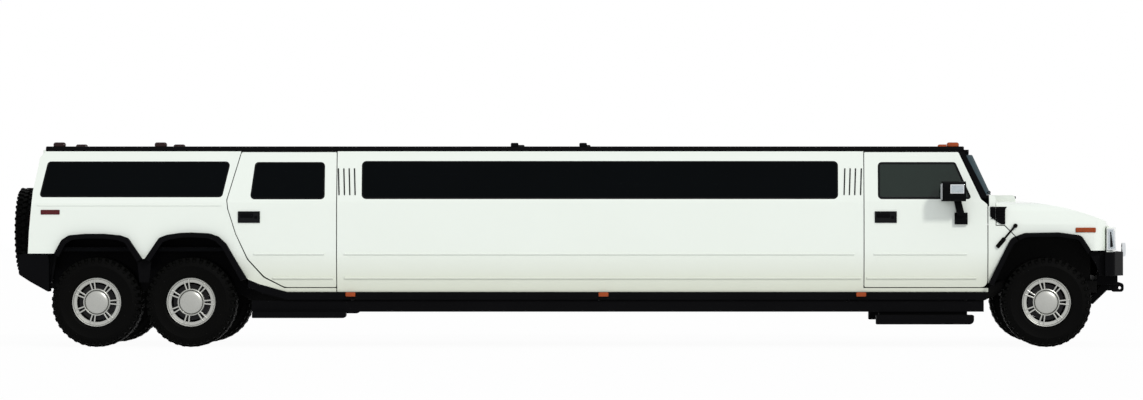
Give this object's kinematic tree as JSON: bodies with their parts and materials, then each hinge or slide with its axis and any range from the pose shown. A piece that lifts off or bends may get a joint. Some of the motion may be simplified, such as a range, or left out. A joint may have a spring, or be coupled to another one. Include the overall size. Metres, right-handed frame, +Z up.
{
  "type": "stretch limousine",
  "caption": "Very long off-road style limousine with tandem rear axles, opening doors, tilting hood, side-hinged tailgate and steered front wheels.",
  "frame": {"origin": "on the ground, in the middle of the overall length and width", "axes": "+X forwards, +Y to the vehicle left, +Z up"},
  "size_m": [10.9638, 2.489, 1.997],
  "materials": {
    "body_paint": "gloss white two-layer paint",
    "black_trim": "grained black moulded plastic",
    "chassis_steel": "black chassis paint",
    "floor_mat": "dark floor covering",
    "dark_glass": "dark privacy glass",
    "cab_glass": "green tinted glass",
    "clear_lens": "clear lamp lens",
    "amber_lens": "amber and red lens",
    "seat_leather": "grey-beige leather",
    "dash_plastic": "soft dark plastic",
    "tyre_rubber": "worn black rubber",
    "wheel_alloy": "silver painted cast aluminium"
  },
  "bodies": {
    "chassis": {"frame_rails": "chassis_steel", "tow_receiver": "chassis_steel", "engine_block": "chassis_steel", "front_suspension": "chassis_steel", "rear_axles": "chassis_steel", "floor_pan": "floor_mat", "firewall": "chassis_steel", "side_panels": "body_paint", "roof_panel": "body_paint", "windscreen_frame": "black_trim", "windscreen": "cab_glass", "side_windows": "dark_glass", "rocker_beams": "black_trim", "roof_rails": "black_trim", "arch_flares": "black_trim", "front_panels": "body_paint", "lamps": "clear_lens", "marker_lamps": "amber_lens", "front_bumper": "black_trim", "rear_bumper": "black_trim", "front_seats": "seat_leather", "lounge_seats": "seat_leather", "dashboard": "dash_plastic"},
    "hood_lid": {"hood": "body_paint", "hood_flares": "black_trim"},
    "tail_door": {"tailgate": "body_paint", "tailgate_glass": "dark_glass", "spare_rim": "wheel_alloy", "spare_tyre": "tyre_rubber"},
    "front_left_door": {"front_door_left": "body_paint", "front_door_glass_left": "cab_glass", "mirror_left": "black_trim"},
    "rear_left_door": {"rear_door_left": "body_paint", "rear_door_glass_left": "dark_glass"},
    "left_knuckle": {"knuckle_left": "chassis_steel"},
    "front_left_wheel": {"front_tyre_left": "tyre_rubber", "front_rim_left": "wheel_alloy"},
    "mid_left_wheel": {"mid_tyre_left": "tyre_rubber", "mid_rim_left": "wheel_alloy"},
    "rear_left_wheel": {"rear_tyre_left": "tyre_rubber", "rear_rim_left": "wheel_alloy"},
    "front_right_door": {"front_door_right": "body_paint", "front_door_glass_right": "cab_glass", "mirror_right": "black_trim"},
    "rear_right_door": {"rear_door_right": "body_paint", "rear_door_glass_right": "dark_glass"},
    "right_knuckle": {"knuckle_right": "chassis_steel"},
    "front_right_wheel": {"front_tyre_right": "tyre_rubber", "front_rim_right": "wheel_alloy"},
    "mid_right_wheel": {"mid_tyre_right": "tyre_rubber", "mid_rim_right": "wheel_alloy"},
    "rear_right_wheel": {"rear_tyre_right": "tyre_rubber", "rear_rim_right": "wheel_alloy"}
  },
  "joints": [
    {"name": "hood_hinge", "type": "hinge", "parent": "chassis", "child": "hood_lid", "pos_m": [5.307, 0, 1.165], "axis": [0, 1, 0], "range_deg": [0, 60]},
    {"name": "front_left_door_hinge", "type": "hinge", "parent": "chassis", "child": "front_left_door", "pos_m": [4.003, 0.961, 1], "axis": [0, 0, -1], "range_deg": [0, 65]},
    {"name": "rear_left_door_hinge", "type": "hinge", "parent": "chassis", "child": "rear_left_door", "pos_m": [-2.349, 0.961, 1], "axis": [0, 0, -1], "range_deg": [0, 65]},
    {"name": "front_right_door_hinge", "type": "hinge", "parent": "chassis", "child": "front_right_door", "pos_m": [4.003, -0.961, 1], "axis": [0, 0, 1], "range_deg": [0, 65]},
    {"name": "rear_right_door_hinge", "type": "hinge", "parent": "chassis", "child": "rear_right_door", "pos_m": [-2.349, -0.961, 1], "axis": [0, 0, 1], "range_deg": [0, 65]},
    {"name": "tailgate_hinge", "type": "hinge", "parent": "chassis", "child": "tail_door", "pos_m": [-5.265, 0.782, 1.06], "axis": [0, 0, -1], "range_deg": [0, 90]},
    {"name": "steer_right", "type": "hinge", "parent": "chassis", "child": "right_knuckle", "pos_m": [4.667, -0.7, 0.436], "axis": [0, 0, 1], "range_deg": [-30, 30]},
    {"name": "steer_left", "type": "hinge", "parent": "chassis", "child": "left_knuckle", "pos_m": [4.667, 0.7, 0.436], "axis": [0, 0, 1], "range_deg": [-30, 30]},
    {"name": "front_left_wheel_spin", "type": "hinge", "parent": "left_knuckle", "child": "front_left_wheel", "pos_m": [4.667, 0.86, 0.436], "axis": [0, 1, 0], "continuous": true},
    {"name": "front_right_wheel_spin", "type": "hinge", "parent": "right_knuckle", "child": "front_right_wheel", "pos_m": [4.667, -0.86, 0.436], "axis": [0, 1, 0], "continuous": true},
    {"name": "mid_left_wheel_spin", "type": "hinge", "parent": "chassis", "child": "mid_left_wheel", "pos_m": [-3.673, 0.86, 0.436], "axis": [0, 1, 0], "continuous": true},
    {"name": "mid_right_wheel_spin", "type": "hinge", "parent": "chassis", "child": "mid_right_wheel", "pos_m": [-3.673, -0.86, 0.436], "axis": [0, 1, 0], "continuous": true},
    {"name": "rear_left_wheel_spin", "type": "hinge", "parent": "chassis", "child": "rear_left_wheel", "pos_m": [-4.593, 0.86, 0.436], "axis": [0, 1, 0], "continuous": true},
    {"name": "rear_right_wheel_spin", "type": "hinge", "parent": "chassis", "child": "rear_right_wheel", "pos_m": [-4.593, -0.86, 0.436], "axis": [0, 1, 0], "continuous": true}
  ],
  "couplings": [
    {"joint": "steer_left", "follows": "steer_right", "ratio": 1}
  ]
}
